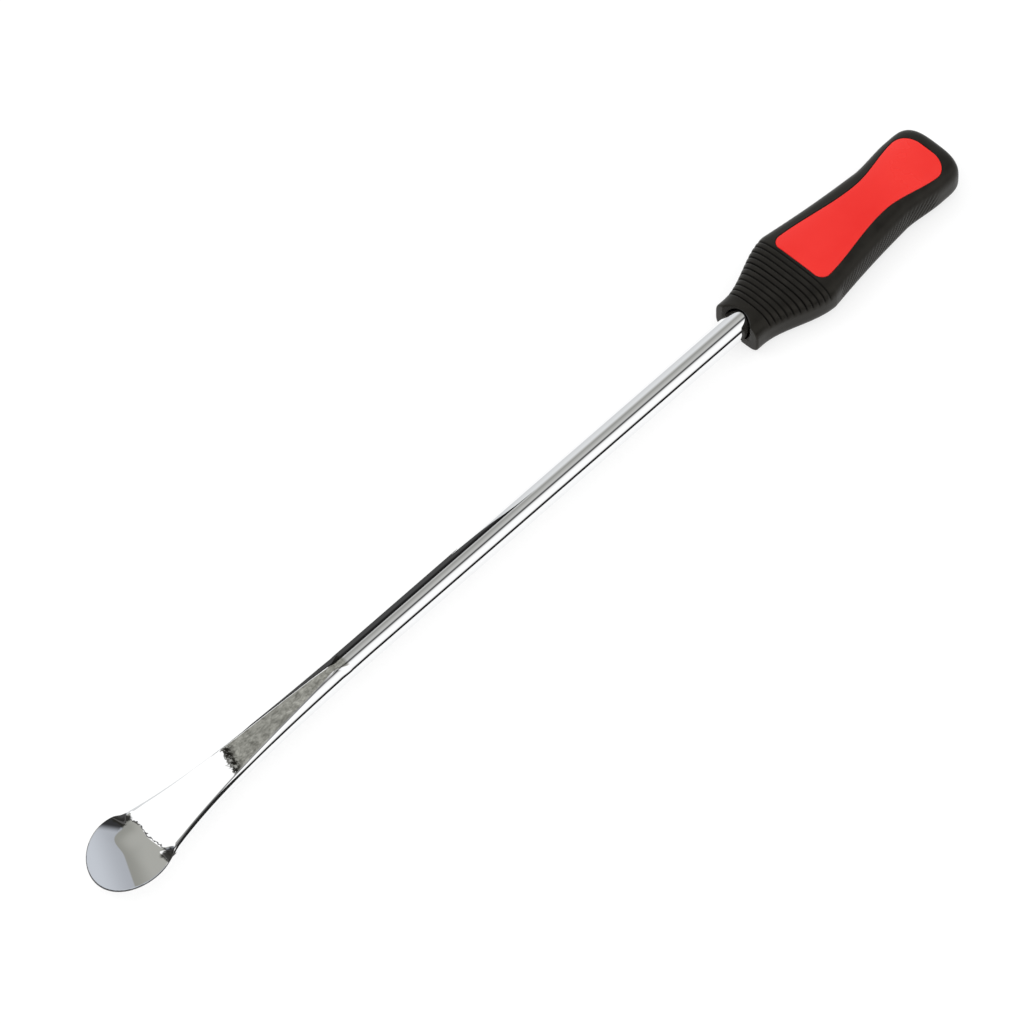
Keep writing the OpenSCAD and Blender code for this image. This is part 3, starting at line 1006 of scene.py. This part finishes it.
# How far the camera sees, and the floor's side, in metres
VIEW_REACH, FLOOR_SIDE = 50, 12
KEY_PLACE, KEY_AIM = Vector((-0.5, 0.9, 1.3)), Vector((0.1, 0, 0))
KEY_SIZE, KEY_POWER = 0.9, 3

# Bands of the light tent seen along the bar: angle round the bar's axis in degrees, from the far
# side over the top to the near side, and the brightness there
TENT_BANDS = (
    (-90, 0.8), (-4, 0.76), (12, 0.74), (45, 0.83), (52, 0.72), (60, 0.5), (68, 0.33), (76, 0.39),
    (95, 0.56), (102, 0.5), (107, 0.08), (114, 0.08), (118, 0.6), (124, 0.98), (132, 1.1),
    (160, 1.1), (169, 0.9), (173, 0.02), (181, 0.02), (183, 0.9), (270, 0.9),
)


# Dark cards for the chrome, as rows of (y, z, start, end) in millimetres: on the floor and upright
# behind the spoon half of the bar, before the blade, and a long low strip before the bar
FAR_CARD = ((18, 0.4, -118, -18), (40, 0.6, -118, -12), (40, 12, -118, 0), (40, 24, -118, 8),
            (40, 38, -118, 16), (40, 52, -118, 26), (40, 66, -118, 40))
NEAR_CARD = ((-60, 36, -178, -122), (-60, 20, -178, -108), (-60, 10, -178, -95), (-60, 0.6, -178, -90))
LOW_STRIP = ((-54, 10.5, -100, 150), (-54, 1, -100, 150))


# Tints of the tent's bands up to an angle in degrees: cool, then warm, then plain
COOL_TO, COOL, WARM_TO, WARM = 60, 1.03, 100, 0.965
# Panels overhead that only the blade and the lip mirror, whose faces tip towards the spoon's end:
# where they lie round the bar, as shares of a turn, where they start along it, and their colours
PANEL_FROM, PANEL_TO = (0.36, 0.38), (0.55, 0.53)
BLADE_PANEL, BLADE_LEVEL = (0.405, 0.398), (1.15, 1.15, 1.15)
LIP_PANEL, LIP_SKEW, LIP_DIVIDE = (0.337, 0.333), 0.74, (0.483, 0.471)
WARM_SPAN, WARM_ENDS = (0.48, 0.65), ((0.31, 0.31, 0.285), (0.43, 0.43, 0.4))
COOL_SPAN, COOL_ENDS = (0.23, 0.47), ((0.6, 0.63, 0.68), (0.44, 0.46, 0.5))
PLAIN_LIGHT = 1.12


def tent_world():
    """A light tent: plain and pale to the eye and to dull surfaces, with strips for the chrome."""
    world = bpy.data.worlds.new("light_tent")
    bpy.context.scene.world = world
    world.use_nodes = True
    tree = world.node_tree
    tree.nodes.clear()
    way = node(tree, "TexCoord").outputs["Generated"]
    along, over_y, over_z = node(tree, "SeparateXYZ", way).outputs
    # Angle round the bar's axis, from -90 to 270 degrees, as 0 to 1
    turn = calc(tree, "ARCTAN2", calc(tree, "MULTIPLY", over_y, -1.0), over_z)
    share = calc(tree, "MULTIPLY_ADD", turn, 1 / (2 * pi), 0.5)
    bands = node(tree, "ValToRGB", share)
    stops = bands.color_ramp.elements
    while len(stops) > 1:
        stops.remove(stops[-1])
    for k, (angle, level) in enumerate(TENT_BANDS):
        stop = stops[0] if k == 0 else stops.new((angle + 90) / 360)
        stop.position = (angle + 90) / 360
        cool = COOL if angle < COOL_TO else 1.0
        warm = WARM if COOL_TO <= angle < WARM_TO else 1.0
        stop.color = (level / cool, level / cool ** 0.5, level * warm, 1)
    overhead = product(tree, between(tree, share, *PANEL_FROM), between(tree, share, *PANEL_TO))
    blade = product(tree, overhead, between(tree, along, *BLADE_PANEL))
    lip = product(tree, overhead, between(tree, along, *LIP_PANEL))
    skew = calc(tree, "MULTIPLY_ADD", along, LIP_SKEW, over_y)
    warm_panel = blended(tree, between(tree, skew, *WARM_SPAN), *WARM_ENDS)
    cool_panel = blended(tree, between(tree, skew, *COOL_SPAN), *COOL_ENDS)
    lip_panel = blended(tree, between(tree, skew, *LIP_DIVIDE), warm_panel, cool_panel)
    lit = blended(tree, lip, blended(tree, blade, bands.outputs[0], BLADE_LEVEL), lip_panel)
    bright = node(tree, "Background", lit).outputs[0]
    plain = node(tree, "Background", (1, 1, 1, 1), PLAIN_LIGHT).outputs[0]
    mirrored_ray = node(tree, "LightPath").outputs["Is Glossy Ray"]
    node(tree, "OutputWorld", node(tree, "MixShader", mirrored_ray, plain, bright).outputs[0])


# Heights between which a card's glow passes from its first level to its far one
CARD_FADE = mm(22, 44)


def card(name, profile, level, far_level):
    """A card that shows only in reflections, through rows of (y, z, start, end) in millimetres."""
    deselect_all()
    rows = len(profile) - 1
    bpy.ops.mesh.primitive_grid_add(x_subdivisions=1, y_subdivisions=rows, size=1)
    made = bpy.context.object
    made.name = name
    for v in made.data.vertices:
        y, z, start, end = profile[round((v.co.y + 0.5) * rows)]
        v.co = Vector((start if v.co.x < 0 else end, y, z)) * MM
    material = bpy.data.materials.new(name)
    material.use_nodes = True
    tree = material.node_tree
    tree.nodes.clear()
    height = node(tree, "SeparateXYZ", object_place(tree)).outputs[2]
    glow = node(tree, "Emission", None, between(tree, height, *CARD_FADE, level, far_level))
    node(tree, "OutputMaterial", glow.outputs[0])
    made.data.materials.append(material)
    made.visible_camera = made.visible_diffuse = made.visible_shadow = False
    made.visible_transmission = made.visible_volume_scatter = False


def floor_material():
    """A light table: pale, glowing softly, so that shadows stay faint."""
    material, tree, shader = new_material("studio_floor")
    fill(tree, shader, Base_Color=(0.3, 0.3, 0.3, 1), Roughness=1.0, Specular_IOR_Level=0.0,
         Emission_Color=(1, 1, 1, 1), Emission_Strength=0.72)
    return material


def placed(name, data, place, facing):
    """Puts a light or a camera in the scene, facing along a direction."""
    made = bpy.data.objects.new(name, data)
    bpy.context.scene.collection.objects.link(made)
    made.location = place
    made.rotation_euler = facing.to_track_quat("-Z", "Y").to_euler()
    return made


def key_light():
    """A square area light that the chrome doesn't mirror."""
    data = bpy.data.lights.new("key_light", "AREA")
    data.size, data.energy = KEY_SIZE, KEY_POWER
    light = placed("key_light", data, KEY_PLACE, KEY_AIM - KEY_PLACE)
    light.visible_camera = light.visible_glossy = False


def main_camera():
    """A long lens, so that the view is all but parallel."""
    data = bpy.data.cameras.new("camera")
    data.lens, data.clip_end = LENS, VIEW_REACH
    turn, rise = radians(CAMERA_TURN), radians(CAMERA_RISE)
    back = Vector((sin(turn) * cos(rise), -cos(turn) * cos(rise), sin(rise)))
    return placed("camera", data, AIM + back * (VIEW_WIDTH * LENS / data.sensor_width), -back)


# ---- Operators ----

class LEVER_OT_bar(bpy.types.Operator):
    """Makes the chrome bar: spoon, forged blade, round bar and tang"""

    bl_idname = "lever.make_bar"
    bl_label = "Chrome Bar"

    def execute(self, context):
        shape, marks = bar_shape()
        piece = marked_tube("chrome_lever_bar", shape, marks)
        tidy_mesh(piece)
        smoothed(piece, 50)
        finish_piece(piece, "lever_bar", chrome_material())
        return {"FINISHED"}


class LEVER_OT_core(bpy.types.Operator):
    """Makes the red core with its two pads"""

    bl_idname = "lever.make_core"
    bl_label = "Red Core"

    def execute(self, context):
        piece = shaped_tube("red_handle_core", core_shape())[0]
        tidy_mesh(piece)
        smoothed(piece, 40)
        finish_piece(piece, "handle_core", red_material())
        return {"FINISHED"}


class LEVER_OT_sleeve(bpy.types.Operator):
    """Makes the black sleeve with its rings, ribs and windows"""

    bl_idname = "lever.make_sleeve"
    bl_label = "Black Sleeve"

    def execute(self, context):
        shape, marks = sleeve_shape()
        piece = marked_tube("black_grip_sleeve", shape, marks)
        tidy_mesh(piece)
        carve(piece, cavity_block())
        smoothed(piece, 40)
        finish_piece(piece, "grip_sleeve", rubber_material())
        return {"FINISHED"}


class LEVER_OT_stage(bpy.types.Operator):
    """Makes the floor, the light tent, the lights and the camera"""

    bl_idname = "lever.make_stage"
    bl_label = "Stage"

    def execute(self, context):
        scene = context.scene
        scene.view_settings.view_transform = "Standard"
        deselect_all()
        bpy.ops.mesh.primitive_plane_add(size=FLOOR_SIDE)
        floor = context.object
        floor.name = "studio_floor"
        floor.data.materials.append(floor_material())
        tent_world()
        card("far_card", FAR_CARD, 0.07, 0.012)
        card("near_card", NEAR_CARD, 0.02, 0.02)
        card("low_strip", LOW_STRIP, 0.02, 0.02)
        key_light()
        scene.camera = main_camera()
        return {"FINISHED"}


class LEVER_PT_panel(bpy.types.Panel):
    """Lists the pieces of the lever"""

    bl_label = "Tyre Lever"
    bl_space_type = "VIEW_3D"
    bl_region_type = "UI"
    bl_category = "Tyre Lever"

    def draw(self, context):
        for operator in OPERATORS:
            self.layout.operator(operator.bl_idname)
        for group in GROUPS:
            settings = getattr(context.scene, group)
            for name in settings.__annotations__:
                self.layout.prop(settings, name)


GROUPS = {
    "lever_bar": LEVER_PG_bar,
    "lever_grip": LEVER_PG_grip,
    "lever_pad": LEVER_PG_pad,
    "lever_finish": LEVER_PG_finish,
}
OPERATORS = (LEVER_OT_bar, LEVER_OT_core, LEVER_OT_sleeve, LEVER_OT_stage)


def register():
    for cls in (*GROUPS.values(), *OPERATORS, LEVER_PT_panel):
        bpy.utils.register_class(cls)
    for name, cls in GROUPS.items():
        setattr(bpy.types.Scene, name, bpy.props.PointerProperty(type=cls))


def unregister():
    for name in GROUPS:
        delattr(bpy.types.Scene, name)
    for cls in reversed((*GROUPS.values(), *OPERATORS, LEVER_PT_panel)):
        bpy.utils.unregister_class(cls)


def main():
    register()
    bpy.ops.lever.make_bar()
    bpy.ops.lever.make_core()
    bpy.ops.lever.make_sleeve()
    bpy.ops.lever.make_stage()


if __name__ == "__main__":
    main()
